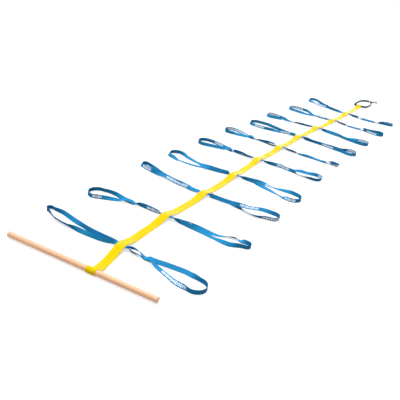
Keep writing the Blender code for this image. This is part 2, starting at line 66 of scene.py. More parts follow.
# Lengths in metres: the rungs, the strap's lift over each, which falls away past half a ridge, where the two
# eyes lie, and how far the strap has drifted sideways at each rung and eye
RUNGS = 10
SPACING = 0.420
LOOP_REACH = 0.460
LIFT = 0.020
LIFT_RUN = 0.120
LIFT_FULLNESS = 0.35
RIDGE_HALF = 0.0185
EYE_Y = -2.158
END_EYE_Y = 2.400
TAPE_GAP = 0.0005
CLEARANCE = 0.0003
RUNG_X = (0.0277, 0.0084, 0.0118, 0.0063, -0.0029, 0.0029, 0.0088, 0.0298, 0.0601, 0.0752)
EYE_X = 0.0651
END_EYE_X = 0.0819

# The sewn eyes: how far the strap falls past the bore, its lap, the run of the step where a lap ends, and the
# gap that is left to the eye's own end
EYE_FALL = 0.024
EYE_LAP = 0.030
EYE_STEPS = 28
LAP_STEP = 0.003
PLY_RUN = 0.025
LAP_SPARE = 0.004
FIFTHS = (0.2, 0.4, 0.6, 0.8)

# Where the strap's pieces part before the first rung and past the last, and the length of a step along it
FIRST_CUT = -2.015
LAST_CUT = 2.100
STRAP_STEP = 0.006
SKEW_RUN = 0.030

# The wooden bar
BAR_SKEW = math.radians(2.7)
BAR_SPARE = 0.0003
BAR_EDGE = 0.0036
BAR_EDGE_STEPS = 6
BAR_EDGE_PROFILE = 0.55
BAR_SIDES = 72

# The sewn boxes: the step from stitch to stitch, the margin to the strap's edge, half a box along the strap,
# and how far ahead of the fall a lap's box lies
STITCH_PITCH = 0.0046
SEAM_MARGIN = 0.005
RUNG_BOX_HALF = 0.009
LAP_BOX_HALF = 0.012
LAP_BOX_AHEAD = 0.016

# How each hand loop lies, as in the CAD source, but for a few rolls opened so that thin strands show: its
# reach, swing and bow, the parting of its strands at each PART_AT, the tape's roll at each ROLL_AT, then
# the strands' lean apart and their common tilt at each LEAN_AT
LEFT_LOOPS = (
    ((1.057, 0.089, -0.116), (0.059, 0.077, 0.101, 0.133, 0.152, 0.081),
     (78, 74, 66, 81, 97, 103), (-9, 35, 26, -4), (0, 0, 0, 0)),
    ((1.000, -0.106, 0.152), (0.004, 0.017, 0.009, 0.054, 0.169, 0.241),
     (118, 86, 131, 224, 252, 274), (-18, -14, -14, -8), (41, 43, 14, -4)),
    ((1.090, 0.215, 0.035), (0.004, 0.054, 0.033, 0.040, 0.102, 0.115),
     (22, 44, 76, 67, 98, 91), (-22, -17, 6, -16), (8, 23, 29, 13)),
    ((1.062, 0.027, -0.188), (0.053, 0.059, 0.064, 0.184, 0.255, 0.234),
     (80, 70, 74, 59, 48, 87), (-14, -1, -21, -19), (45, 75, 74, 18)),
    ((1.038, 0.019, 0.159), (0.009, 0.028, 0.019, 0.081, 0.175, 0.243),
     (141, 137, 134, 229, 257, 270), (-2, -6, -7, -7), (12, 11, 16, 4)),
    ((1.040, 0.067, 0.186), (0.050, 0.022, 0.004, 0.067, 0.144, 0.219),
     (142, 132, 142, 194, 249, 269), (10, 2, -13, 1), (6, 20, 32, 7)),
    ((0.951, 0.029, 0.043), (0.045, 0.049, 0.126, 0.219, 0.291, 0.270),
     (66, 72, 96, 97, 92, 85), (-25, 2, -6, -11), (43, 22, 16, 10)),
    ((1.000, -0.047, -0.047), (0.004, 0.012, 0.004, 0.005, 0.120, 0.207),
     (144, 137, 144, 187, 252, 270), (9, 0, -17, -10), (6, 7, -1, 21)),
    ((0.972, 0.091, 0.067), (0.022, 0.020, 0.112, 0.225, 0.272, 0.270),
     (8, 15, 8, 51, 91, 89), (31, -9, -15, -9), (28, 36, 19, 20)),
    ((0.966, 0.400, 0.105), (0.004, 0.004, 0.006, 0.109, 0.199, 0.270),
     (11, 73, 97, 120, 109, 87), (-9, -19, -19, -19), (25, 58, 55, 36)),
)
RIGHT_LOOPS = (
    ((1.010, -0.100, 0.000), (0.050, 0.010, 0.070, 0.150, 0.230, 0.230),
     (120, 145, 230, 255, 258, 264), (-20, -18, -3, 3), (50, 52, 44, -10)),
    ((1.022, 0.071, -0.020), (0.007, 0.050, 0.057, 0.101, 0.212, 0.108),
     (138, 75, 76, 70, 65, 91), (-1, 3, 50, 5), (41, 75, 74, -4)),
    ((0.984, 0.078, 0.021), (0.032, 0.031, 0.062, 0.146, 0.244, 0.183),
     (79, 68, 65, 78, 89, 90), (-2, 60, 47, 11), (1, -5, 0, -2)),
    ((0.999, -0.042, 0.186), (0.004, 0.036, 0.118, 0.172, 0.213, 0.259),
     (143, 85, 78, 63, 68, 108), (3, 9, -25, -4), (41, 75, 72, 38)),
    ((0.989, 0.058, 0.123), (0.004, 0.015, 0.077, 0.137, 0.183, 0.215),
     (143, 93, 55, 33, 94, 92), (39, 53, 60, 18), (-5, -28, 3, -3)),
    ((0.996, 0.002, 0.062), (0.013, 0.012, 0.023, 0.008, 0.022, 0.051),
     (140, 143, 188, 190, 182, 96), (-8, 3, 14, 24), (0, 1, -3, -1)),
    ((1.044, -0.025, -0.119), (0.031, 0.004, 0.004, 0.067, 0.112, 0.221),
     (143, 117, 85, 91, 98, 77), (-9, -20, -25, -10), (2, 3, -5, 4)),
    ((1.016, -0.095, -0.231), (0.007, 0.036, 0.043, 0.101, 0.166, 0.218),
     (143, 67, 48, 60, 76, 86), (24, 30, 13, 1), (7, 29, 19, 7)),
    ((1.025, -0.027, -0.181), (0.011, 0.016, 0.013, 0.029, 0.113, 0.209),
     (143, 143, 187, 188, 113, 88), (11, 7, -8, -8), (20, 36, 34, 10)),
    ((0.979, 0.086, -0.240), (0.021, 0.029, 0.019, 0.018, 0.034, 0.051),
     (142, 142, 191, 190, 144, 100), (-4, 2, -6, -1), (10, 21, 21, 26)),
)
PART_AT = (0.12, 0.27, 0.45, 0.63, 0.82, 1.0)
ROLL_AT = (0.052, 0.20, 0.38, 0.56, 0.78, 1.0)
LEAN_AT = (0.45, 0.63, 0.82, 1.0)
LEVEL_TO = 0.27
ROOT_HOLD = 0.0065
ROOT_FALL = 0.110
UNDER_ROLL = 78
LOOP_STEPS = 64
ROOT_CROWDING = 1.45
TIP_STEPS = 16

# How far a hand loop's ends run in under the strap, and the margin from the strap's edge to a rung's tape
INNER_ENDS = (0.004, 0.008, 0.012)
PLY_MARGIN = 0.0125

# Where the plain woven bars lie along each hand loop, from and to, in metres, with BACK added on the under
# face; then the step from one bar to the next, the share of it that a bar fills, and half its height as a
# share of the tape's width, with how much that varies and how fast
BACK = 10.0
MARK_STEP = 0.0105
MARK_FILL = 0.64
MARK_HALF = 0.27
MARK_UNEVEN = 0.06
MARK_WAVE = 2.1
LEFT_MARKS = {
    2: ((10.93, 11.02), (10.4, 10.45),),
    3: ((10.81, 10.98), (10.59, 10.67),),
    5: ((0.68, 0.76),),
    6: ((0.56, 0.77),),
    7: ((10.6, 10.69), (10.84, 10.92),),
    8: ((0.52, 0.66),),
    9: ((0.36, 0.51), (10.87, 11.02),),
    10: ((10.69, 10.86),),
}
RIGHT_MARKS = {
    1: ((0.26, 0.43),),
    2: ((10.06, 10.14),),
    3: ((10.01, 10.06), (10.22, 10.33), (0.51, 0.61),),
    4: ((10.21, 10.27), (0.56, 0.63),),
    5: ((0.78, 0.87), (10.44, 10.5),),
    6: ((10.23, 10.31), (0.48, 0.53),),
    7: ((0.75, 0.85), (10.42, 10.52),),
    8: ((10.15, 10.23), (10.39, 10.5),),
    9: ((10.78, 10.85), (0.61, 0.71),),
    10: ((10.15, 10.29), (10.39, 10.47),),
}

# The end loop: its middle line and half its outline as shares of its length and width, and the tape's turn
# from lying on edge to flat at the clip
END_LOOP_LENGTH = 0.385
END_LOOP_WIDTH = 0.140
CLIP_ROD_RADIUS = 0.0036
END_LINE = ((0.0, 0.0), (0.026, 0.36), (0.031, 0.70), (0.055, 0.90), (0.125, 1.0))
END_HALF = (
    (0.0, 0.0), (0.2, 0.0), (0.27, 0.0), (0.43, 0.035), (0.5, 0.13), (0.5, 0.42), (0.36, 0.66), (0.12, 0.84)
)
END_TWIST = ((0, 90), (0.80, 90), (0.96, 0), (1, 0))
END_FALL = 0.13
END_LINE_STEPS = 48
END_HALF_STEPS = 20
BIGHT_STEPS = 16

# The webbing: the pitch of its ribs as drawn, their slant, and where the selvedge starts and is full, from
# the edge
STRAP_RIB = 0.0042
TAPE_RIB = 0.0034
RIB_SLANT = 0.8
WARP_SHARE = 1.25
SELVEDGE_FROM = 0.0026
SELVEDGE_FULL = 0.0016

# The stage: the camera's place, turn and lens, the lamps by name, direction, strength and spread in degrees,
# then what the floor and the world show to the camera and throw on the pieces
FLOOR_SIZE = 60
FLOOR_DROP = 0.0004
CAMERA_AT = (1.30261, -3.78482, 1.35660)
CAMERA_RIGHT = Vector((0.85898708, 0.48913954, 0.15127361))
CAMERA_TOP = Vector((-0.32832974, 0.29954399, 0.89580856))
CAMERA_LENS = 49.31
LAMPS = (
    ("overhead_softbox", (-0.22, 0.05, 1), 2.55, 50),
    ("front_softbox", (0.35, -1, 0.6), 0.45, 40),
    ("rear_softbox", (-0.25, 1, 0.24), 0.85, 30),
)
LAMP_DISTANCE = 3
FLOOR_PALE = (0.5, 0.5, 0.5, 1)
FLOOR_LIFT = 0.64
WORLD_FILL = 0.12


def box_size(name):
    """A CAD node's size along x, y and z."""
    low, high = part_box(name)
    return high - low


STRAP_WIDTH = box_size("rung_tape_1").x
TAPE_WIDTH = box_size("rung_tape_1").y
STRAP_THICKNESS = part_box("strap_section_2")[1].z - LIFT
TAPE_THICKNESS = (box_size("rung_tape_1").z - TAPE_GAP) / 2
EYE_RADIUS = (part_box("bar_eye")[1].z - 2 * STRAP_THICKNESS) / 2
END_EYE_RADIUS = (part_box("end_eye")[1].z - 2 * STRAP_THICKNESS) / 2
BAR_LENGTH = box_size("wooden_bar").x / math.cos(BAR_SKEW) - BAR_SPARE
ROOT_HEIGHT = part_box("rung_tape_1")[0].z + TAPE_THICKNESS + TAPE_GAP / 2
BEVEL_SHARE = 0.22
SEAM_LAP = STRAP_THICKNESS * BEVEL_SHARE
CROSS_STEPS = 4


class LadderSizes(bpy.types.PropertyGroup):
    """Sizes that a user would change."""

    strap_width: bpy.props.FloatProperty(
        name="Strap width", description="Width of the centre strap", default=STRAP_WIDTH, unit="LENGTH"
    )
    strap_thickness: bpy.props.FloatProperty(
        name="Strap thickness",
        description="Thickness of the centre strap",
        default=STRAP_THICKNESS,
        unit="LENGTH",
    )
    tape_width: bpy.props.FloatProperty(
        name="Tape width", description="Width of the hand loops' tape", default=TAPE_WIDTH, unit="LENGTH"
    )
    tape_thickness: bpy.props.FloatProperty(
        name="Tape thickness",
        description="Thickness of the hand loops' tape",
        default=TAPE_THICKNESS,
        unit="LENGTH",
    )
    end_tape_width: bpy.props.FloatProperty(
        name="End tape width", description="Width of the end loop's tape", default=0.020, unit="LENGTH"
    )
    stitch: bpy.props.FloatProperty(
        name="Stitch", description="Length of one stitch", default=0.0036, unit="LENGTH"
    )
    thread: bpy.props.FloatProperty(
        name="Thread", description="Thickness of the sewing thread", default=0.0009, unit="LENGTH"
    )
    bar_length: bpy.props.FloatProperty(
        name="Bar length", description="Length of the wooden bar", default=BAR_LENGTH, unit="LENGTH"
    )
    bar_diameter: bpy.props.FloatProperty(
        name="Bar diameter", description="Diameter of the wooden bar", default=0.028, unit="LENGTH"
    )


class LadderColours(bpy.types.PropertyGroup):
    """Colours that a user would change, as sRGB hex."""

    webbing: bpy.props.StringProperty(name="Strap", description="Yellow of the strap", default="FFE100")
    # Painted light: the orange of an emission that lifts and warms the strap's shaded side
    painted_glow: bpy.props.StringProperty(
        name="Strap's glow",
        description="Orange emission, painted light that lifts the strap in shade",
        default="FFA800",
    )
    tape: bpy.props.StringProperty(name="Hand loops", description="Blue of the hand loops", default="30A9EA")
    marks: bpy.props.StringProperty(
        name="Woven bars", description="White of the woven bars", default="F2F7FA"
    )
    end_tape: bpy.props.StringProperty(
        name="End loop", description="Teal of the end loop", default="2E7F92"
    )
    thread: bpy.props.StringProperty(
        name="Thread", description="Pale yellow of the thread", default="FFF08A"
    )
    beech: bpy.props.StringProperty(name="Beech", description="Pale wood of the bar", default="FFBF92")
    clip: bpy.props.StringProperty(name="Clip", description="Grey of the clip's rod", default="4A4C52")
    gate: bpy.props.StringProperty(name="Gate", description="Red of the clip's gate", default="7A0D22")
    rivet: bpy.props.StringProperty(
        name="Rivet", description="Bright steel of the gate's pin", default="C4C6C8"
    )
    floor: bpy.props.StringProperty(
        name="Floor", description="Grey that the floor throws back", default="7C7C7C"
    )


# Curves
def eased(stations, at):
    """The value at a place along stations (place, value): smooth, and level at its ends, highs and lows."""
    rises = [(b - a) / (end - start) for (start, a), (end, b) in zip(stations, stations[1:])]
    slopes = [2 * p * q / (p + q) if p * q > 0 else 0 for p, q in zip([0, *rises], [*rises, 0])]
    if at <= stations[0][0]:
        return stations[0][1]
    for i, ((start, first), (end, second)) in enumerate(zip(stations, stations[1:])):
        if at <= end:
            run, t = end - start, (at - start) / (end - start)
            bend = slopes[i] * (1 - t) - slopes[i + 1] * t
            return first + (second - first) * t * t * (3 - 2 * t) + bend * run * t * (1 - t)
    return stations[-1][1]


def through(points, steps):
    """A smooth curve through points, with this many steps from each to the next."""
    ends = [2 * points[0] - points[1], *points, 2 * points[-1] - points[-2]]
    curve = []
    for a, b, c, d in zip(ends, ends[1:], ends[2:], ends[3:]):
        for step in range(steps):
            t = step / steps
            bend = (2 * a - 5 * b + 4 * c - d) * t * t + (3 * b - 3 * c + d - a) * t**3
            curve.append(b + ((c - a) * t + bend) / 2)
    return [*curve, points[-1]]


def rung_place(number):
    """The floor point under the middle of a rung, counted from 1."""
    return Vector((RUNG_X[number - 1], (number - (RUNGS + 1) / 2) * SPACING, 0))


# Pieces by hand
def deselect():
    """Leave nothing selected."""
    bpy.ops.object.select_all(action="DESELECT")


def pick(piece):
    """Make one piece the selected and active one."""
    deselect()
    piece.select_set(True)
    bpy.context.view_layer.objects.active = piece


def settle(piece):
    """Put a piece's place, turn and size into its mesh."""
    pick(piece)
    bpy.ops.object.transform_apply(location=True, rotation=True, scale=True)


def finish_with(piece, kind, **settings):
    """Add a modifier with its settings and apply it."""
    pick(piece)
    step = piece.modifiers.new(kind.lower(), kind)
    for name, value in settings.items():
        setattr(step, name, value)
    bpy.ops.object.modifier_apply(modifier=step.name)


def woven_piece(name, centres, sides, width, thickness, finish, start=0.0):
    """A flat woven tape along centres, its width lying along sides, with a UV map in metres.

    Across is from 0 to the width and along starts at a given length. The under face has BACK added to its
    along, so that a finish can tell the two faces apart.
    """
    deselect()
    bpy.ops.mesh.primitive_grid_add(x_subdivisions=CROSS_STEPS, y_subdivisions=len(centres) - 1, size=1)
    piece = bpy.context.object
    piece.name = piece.data.name = name
    mesh = piece.data
    count = CROSS_STEPS + 1
    along = [start]
    for here, there in zip(centres, centres[1:]):
        along.append(along[-1] + (there - here).length)
    for i, (centre, side) in enumerate(zip(centres, sides)):
        for k in range(count):
            mesh.vertices[i * count + k].co = centre + side.normalized() * (k / CROSS_STEPS - 0.5) * width
    spots = mesh.uv_layers.active.data
    for loop in mesh.loops:
        i, k = divmod(loop.vertex_index, count)
        spots[loop.index].uv = (k / CROSS_STEPS * width, along[i])
    faces = len(mesh.polygons)
    finish_with(piece, "SOLIDIFY", thickness=thickness, offset=0, use_even_offset=True)
    spots = mesh.uv_layers.active.data
    for face in mesh.polygons[faces : 2 * faces]:
        for loop in face.loop_indices:
            spots[loop].uv.y += BACK
    bevel = {"width": thickness * BEVEL_SHARE, "segments": 2}
    finish_with(piece, "BEVEL", limit_method="ANGLE", angle_limit=math.radians(50), **bevel)
    pick(piece)
    bpy.ops.object.shade_smooth_by_angle(angle=math.radians(40))
    mesh.materials.clear()
    mesh.materials.append(finish)
    return piece


def stitch_bead():
    """One stitch: a flattened bead of thread lying along x, made once and copied."""
    deselect()
    sizes = bpy.context.scene.ladder_sizes
    bpy.ops.mesh.primitive_uv_sphere_add(segments=8, ring_count=5, radius=1)
    bead = bpy.context.object
    bead.scale = (sizes.stitch / 2, sizes.thread / 2, sizes.thread / 2.6)
    settle(bead)
    return bead


def stitched(name, places, finish):
    """A run of stitches: a copy of the bead at each point and direction."""
    bead = stitch_bead()
    vertices, faces = [], []
    for point, way in places:
        turn = Matrix((way, UP.cross(way).normalized(), UP)).transposed()
        base = len(vertices)
        vertices += [point + turn @ v.co for v in bead.data.vertices]
        faces += [tuple(base + i for i in face.vertices) for face in bead.data.polygons]
    mesh = bpy.data.meshes.new(name)
    mesh.from_pydata(vertices, [], faces)
    piece = bpy.data.objects.new(name, mesh)
    bpy.context.collection.objects.link(piece)
    bpy.data.objects.remove(bead, do_unlink=True)
    pick(piece)
    bpy.ops.object.shade_smooth()
    mesh.materials.append(finish)
    return piece


# Materials, their patterns in spots to the metre from the real size in millimetres
FADED_PATCHES = 1000 / 90.909
PLIES = 1000 / 6.25
GRAIN = (1000 / 113.636, 1000 / 4.16667, 1000 / 4.16667)
FLECKS = (1000 / 11.1111, 1000 / 1.11111, 1000 / 1.11111)
SCUFFS = 1000 / 2.38095


def linear(code):
    """A linear colour from sRGB hex."""
    parts = [int(code[i : i + 2], 16) / 255 for i in (0, 2, 4)]
    return (*[p / 12.92 if p <= 0.04045 else ((p + 0.055) / 1.055) ** 2.4 for p in parts], 1)


def shade(code, share):
    """A colour from hex, darker or lighter by a share."""
    return (*[min(c * share, 1) for c in linear(code)[:3]], 1)


def feed(tree, socket, value):
    """Give an input a value, another node's output, or a node, which stands for its first output in use."""
    if isinstance(value, bpy.types.Node):
        value = next(output for output in value.outputs if output.enabled)
    if isinstance(value, bpy.types.NodeSocket):
        tree.links.new(value, socket)
    else:
        socket.default_value = value


def node(tree, kind, *values, **named):
    """Add a shader node with its settings and links; a kind such as Math.SINE also names its operation.

    Values go to the inputs in use, in their order. A name in small letters is a setting, others are inputs.
    """
    kind, _, operation = kind.partition(".")
    made = tree.nodes.new("ShaderNode" + kind)
    if operation:
        made.operation = operation
    for name, value in named.items():
        if name.islower():
            setattr(made, name, value)
        else:
            feed(tree, made.inputs[name.replace("_", " ")], value)
    for socket, value in zip([socket for socket in made.inputs if socket.enabled], values):
        feed(tree, socket, value)
    return made


def new_finish(name):
    """A new material, its node tree, and the place on the piece in metres."""
    made = bpy.data.materials.new(name)
    made.use_nodes = True
    return made, made.node_tree, node(made.node_tree, "TexCoord").outputs["Object"]


def finished(made, **inputs):
    """A new material, with these inputs given to its own shader."""
    for name, value in inputs.items():
        shader = made.node_tree.nodes["Principled BSDF"]
        feed(made.node_tree, shader.inputs[name.replace("_", " ")], value)
    return made


def webbing_finish(name, code, width, pitch, marks=None, runs=(), gloss=0.0, painted_glow=None):
    """Woven polyester webbing: chevron ribs, tight selvedges and faint fading, matt with a soft sheen.

    The real ribs are about 1 mm apart. They are drawn coarser, so that they show. Gloss makes the webbing
    smoother. The last argument is the orange of an emission: painted light that lifts and warms the webbing
    in shade.
    """
    made, tree, place = new_finish(name)
    split = node(tree, "SeparateXYZ", node(tree, "TexCoord").outputs["UV"])
    across, along = split.outputs[0], split.outputs[1]
    middle = node(tree, "Math.ABSOLUTE", node(tree, "Math.SUBTRACT", across, width / 2))
    slant = node(tree, "Math.MULTIPLY_ADD", middle, RIB_SLANT, along)
    rib = node(tree, "Math.SINE", node(tree, "Math.MULTIPLY", slant, TAU / pitch))
    warp = node(tree, "Math.SINE", node(tree, "Math.MULTIPLY", across, TAU / (pitch * WARP_SHARE)))
    weave = node(tree, "Math.MULTIPLY", node(tree, "Math.MULTIPLY_ADD", rib, warp, 1.0), 0.5)
    edge = width / 2
    selvedge = node(tree, "MapRange", middle, edge - SELVEDGE_FROM, edge - SELVEDGE_FULL, 0.0, 1.0)
    cloud = node(tree, "TexNoise", place, Scale=FADED_PATCHES, Detail=3.0, Roughness=0.55)
    fading = node(tree, "MapRange", cloud, 0.35, 0.7, 0.0, 1.0)
    colour = shade(code, 0.86)
    for pattern, strength, tint in (
        (weave, 0.45, shade(code, 1.12)),
        (fading, 0.22, shade(code, 0.8)),
        (selvedge, 0.35, shade(code, 0.68)),
    ):
        share = node(tree, "Math.MULTIPLY", pattern, strength)
        colour = node(tree, "Mix", share, colour, tint, data_type="RGBA")
    # Plain woven bars of uneven height, with nothing to read in them
    # Painted light: each bar also emits its own white, so that it stays bright where the tape lies in shade
    painted_mark_light = 0.0
    for start, end in runs:
        spot = node(tree, "Math.SUBTRACT", along, start)
        count = node(tree, "Math.FLOOR", node(tree, "Math.DIVIDE", spot, MARK_STEP))
        wave = node(tree, "Math.SINE", node(tree, "Math.MULTIPLY", count, MARK_WAVE))
        height = node(tree, "Math.MULTIPLY_ADD", wave, width * MARK_UNEVEN, width * MARK_HALF)
        within = node(tree, "Math.MODULO", spot, MARK_STEP)
        mark = node(tree, "Math.LESS_THAN", within, MARK_STEP * MARK_FILL)
        for limit in (
            node(tree, "Math.GREATER_THAN", spot, 0.0),
            node(tree, "Math.LESS_THAN", spot, end - start),
            node(tree, "Math.LESS_THAN", middle, height),
        ):
            mark = node(tree, "Math.MULTIPLY", mark, limit)
        share = node(tree, "Math.MULTIPLY", mark, 0.95)
        colour = node(tree, "Mix", share, colour, linear(marks), data_type="RGBA")
        painted_mark_light = node(tree, "Math.MULTIPLY_ADD", mark, 0.35, painted_mark_light)
    relief = node(tree, "Math.MULTIPLY_ADD", selvedge, 0.8, weave)
    look = {
        "Base_Color": colour,
        "Normal": node(tree, "Bump", Strength=0.35 - gloss * 0.6, Distance=0.0004, Height=relief),
        "Roughness": node(tree, "MapRange", cloud, 0.3, 0.7, 0.62 - gloss / 2, 0.78 - gloss / 2),
        "Specular_IOR_Level": 0.08 + gloss * 0.3,
        "Sheen_Weight": 0.12 + gloss,
        "Sheen_Roughness": 0.2,
    }
    # Painted light: the bars' white emission
    if runs:
        look |= {"Emission_Color": linear(marks), "Emission_Strength": painted_mark_light}
    # Painted light: an orange emission that lifts and warms the strap where it lies in shade
    if painted_glow:
        look |= {"Specular_Tint": linear(code), "Sheen_Tint": linear(code)}
        look |= {"Emission_Color": linear(painted_glow), "Emission_Strength": 0.13}
    return finished(made, **look)


def thread_finish(name, code):
    """Bonded nylon sewing thread: a little glossier than the webbing, its plies drawn coarser, to show."""
    made, tree, place = new_finish(name)
    cloud = node(tree, "TexNoise", place, Scale=PLIES, Detail=1.0)
    colour = node(tree, "Mix", cloud, shade(code, 0.85), shade(code, 1.1), data_type="RGBA")
    return finished(made, Base_Color=colour, Roughness=0.5)


def beech_finish(name, code):
    """Turned and sanded beech under matt oil: long fine grain, short darker flecks, pale and satin; an
    emission of its own colour is painted light that lifts its shaded side.
    """
    made, tree, place = new_finish(name)
    turned = node(tree, "Mapping", place, Rotation=(0, 0, -BAR_SKEW))
    grain_at = node(tree, "Mapping", turned, Scale=GRAIN)
    grain = node(tree, "TexNoise", grain_at, Scale=1.0, Detail=6.0, Roughness=0.6, Distortion=0.4)
    flecks_at = node(tree, "Mapping", turned, Scale=FLECKS)
    flecks = node(tree, "TexNoise", flecks_at, Scale=1.0, Detail=2.0, Roughness=0.5)
    fleck = node(tree, "MapRange", flecks, 0.62, 0.72, 0.0, 0.45)
    band = node(tree, "MapRange", grain, 0.3, 0.7, 0.0, 1.0)
    colour = node(tree, "Mix", band, shade(code, 0.82), shade(code, 1.1), data_type="RGBA")
    return finished(
        made,
        Base_Color=node(tree, "Mix", fleck, colour, shade(code, 0.55), data_type="RGBA"),
        Roughness=node(tree, "MapRange", grain, 0.3, 0.7, 0.42, 0.56),
        Normal=node(tree, "Bump", Strength=0.15, Distance=0.0003, Height=grain),
        # Painted light: an emission of the wood's own colour lifts the bar's shaded underside
        Emission_Color=linear(code),
        Emission_Strength=0.16,
        Coat_Weight=0.8,
        Coat_Roughness=0.3,
    )


def metal_finish(name, code, roughness, metallic=1.0):
    """Metal with a handled surface: fine scuffs that dull its gloss in patches."""
    made, tree, place = new_finish(name)
    scuffs = node(tree, "TexNoise", place, Scale=SCUFFS, Detail=4.0, Roughness=0.65)
    return finished(
        made,
        Base_Color=node(tree, "Mix", scuffs, shade(code, 0.88), shade(code, 1.12), data_type="RGBA"),
        Roughness=node(tree, "MapRange", scuffs, 0.3, 0.7, roughness - 0.08, roughness + 0.14),
        Metallic=metallic,
    )


# The strap
def strap_x(y):
    """How far the strap's middle line has drifted sideways."""
    places = [rung_place(k) for k in range(1, RUNGS + 1)]
    return eased(((EYE_Y, EYE_X), *[(p.y, p.x) for p in places], (END_EYE_Y, END_EYE_X)), y)


def strap_height(y, lap_ends):
    """The height of the strap's underside: flat on the floor, raised over each rung and at the laps."""
    height = 0.0
    for k in range(1, RUNGS + 1):
        away = max(abs(y - rung_place(k).y) - RIDGE_HALF, 0) / LIFT_RUN
        if away < 1:
            height = LIFT * (1 - away) ** 2 * (1 + LIFT_FULLNESS * away)
    for end in lap_ends:
        away = max((y - end) if end < 0 else (end - y), 0) / PLY_RUN
        if away < 1:
            height = max(height, STRAP_THICKNESS * (1 - away) ** 2)
    return height


def eye_line(radius):
    """A sewn eye from its lap's end, over the top ply, round the bore and back under: ahead and height."""
    outer = radius + STRAP_THICKNESS
    middle = radius + STRAP_THICKNESS / 2
    start = Vector((EYE_FALL + radius, 1.5 * STRAP_THICKNESS - outer))
    first = math.atan2(start.y, start.x) + math.acos(min(middle / start.length, 1))
    tail = EYE_FALL + radius + EYE_LAP
    line = [Vector((tail - step * LAP_STEP, start.y)) for step in range(round(EYE_LAP / LAP_STEP) + 1)]
    tangent = Vector((math.cos(first), math.sin(first))) * middle
    line += [start.lerp(tangent, t) for t in FIFTHS]
    for step in range(EYE_STEPS + 1):
        angle = first + (math.radians(270) - first) * step / EYE_STEPS
        line.append(Vector((math.cos(angle), math.sin(angle))) * middle)
    line += [Vector((tail * t, STRAP_THICKNESS / 2 - outer)) for t in (*FIFTHS, 1.0)]
    return line, tail


def strap_rows(low, high, lap_ends):
    """The strap's middle line and sides from one y to another, its bevelled ends run into the next piece."""
    low, high = low - SEAM_LAP, high + SEAM_LAP
    count = max(int((high - low) / STRAP_STEP), 2)
    centres = []
    for i in range(count + 1):
        y = low + (high - low) * i / count
        centres.append(Vector((strap_x(y), y, strap_height(y, lap_ends) + STRAP_THICKNESS / 2)))
    return centres, [ACROSS] * len(centres)


class LADDER_OT_strap(bpy.types.Operator):
    """Make the centre strap and its two sewn eyes"""

    bl_idname = "ladder.strap"
    bl_label = "Strap"

    def execute(self, context):
        sizes, colours = context.scene.ladder_sizes, context.scene.ladder_colours
        width, thickness = sizes.strap_width, sizes.strap_thickness
        yellow = webbing_finish(
            "woven_polyester_yellow", colours.webbing, width, STRAP_RIB, gloss=0.34, painted_glow=colours.painted_glow
        )
        eye, tail = eye_line(EYE_RADIUS)
        far, far_tail = eye_line(END_EYE_RADIUS)
        way = Vector((math.cos(BAR_SKEW), math.sin(BAR_SKEW), 0))
        ahead = UP.cross(way)
        lap = EYE_Y + tail * math.cos(BAR_SKEW)
        far_lap = END_EYE_Y - far_tail
        laps = (lap, far_lap)

        place = Vector((EYE_X, EYE_Y, EYE_RADIUS + STRAP_THICKNESS))
        rounds = [place + ahead * p.x + UP * p.y for p in reversed(eye)]
        centres, sides = strap_rows(lap + LAP_SPARE, FIRST_CUT, laps)
        turns = [BAR_SKEW * max(1 - (c.y - lap) / SKEW_RUN, 0) for c in centres]
        sides = [way] * len(rounds) + [Vector((math.cos(turn), math.sin(turn), 0)) for turn in turns]
        piece = woven_piece("strap_start", rounds + centres, sides, width, thickness, yellow)
        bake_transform(piece)
        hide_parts("bar_eye", "strap_section_1")

        cuts = [FIRST_CUT, *[rung_place(k).y + SPACING / 2 for k in range(1, RUNGS)], LAST_CUT]
        for k in range(1, RUNGS + 1):
            centres, sides = strap_rows(cuts[k - 1], cuts[k], laps)
            name = f"strap_over_rung_{k}"
            piece = woven_piece(name, centres, sides, width, thickness, yellow, start=cuts[k - 1])
            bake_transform(piece)
            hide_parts(f"strap_section_{k}", f"strap_section_{k + 1}")

        place = Vector((END_EYE_X, END_EYE_Y, END_EYE_RADIUS + STRAP_THICKNESS))
        centres, sides = strap_rows(LAST_CUT, far_lap - LAP_SPARE, laps)
        centres += [place - ALONG * p.x + UP * p.y for p in far]
        sides += [ACROSS] * len(far)
        piece = woven_piece("strap_end", centres, sides, width, thickness, yellow, start=LAST_CUT)
        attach(piece, "strap_11")
        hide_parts("end_eye", "strap_section_11")
        return {"FINISHED"}


def stitch_row(start, end):
    """Stitches in a straight row between two points."""
    way = end - start
    count = max(round(way.length / STITCH_PITCH), 1)
    return [(start.lerp(end, (i + 0.5) / count), way.normalized()) for i in range(count)]


def stitched_box(middle, a, b):
    """The rows of a sewn box with a cross in it, from its middle and half its sides."""
    corners = [middle - a - b, middle + a - b, middle + a + b, middle - a + b]
    cross = ((corners[0], corners[2]), (corners[1], corners[3]))
    rows = []
    for start, end in (*zip(corners, corners[1:] + corners[:1]), *cross):
        rows += stitch_row(start, end)
    return rows


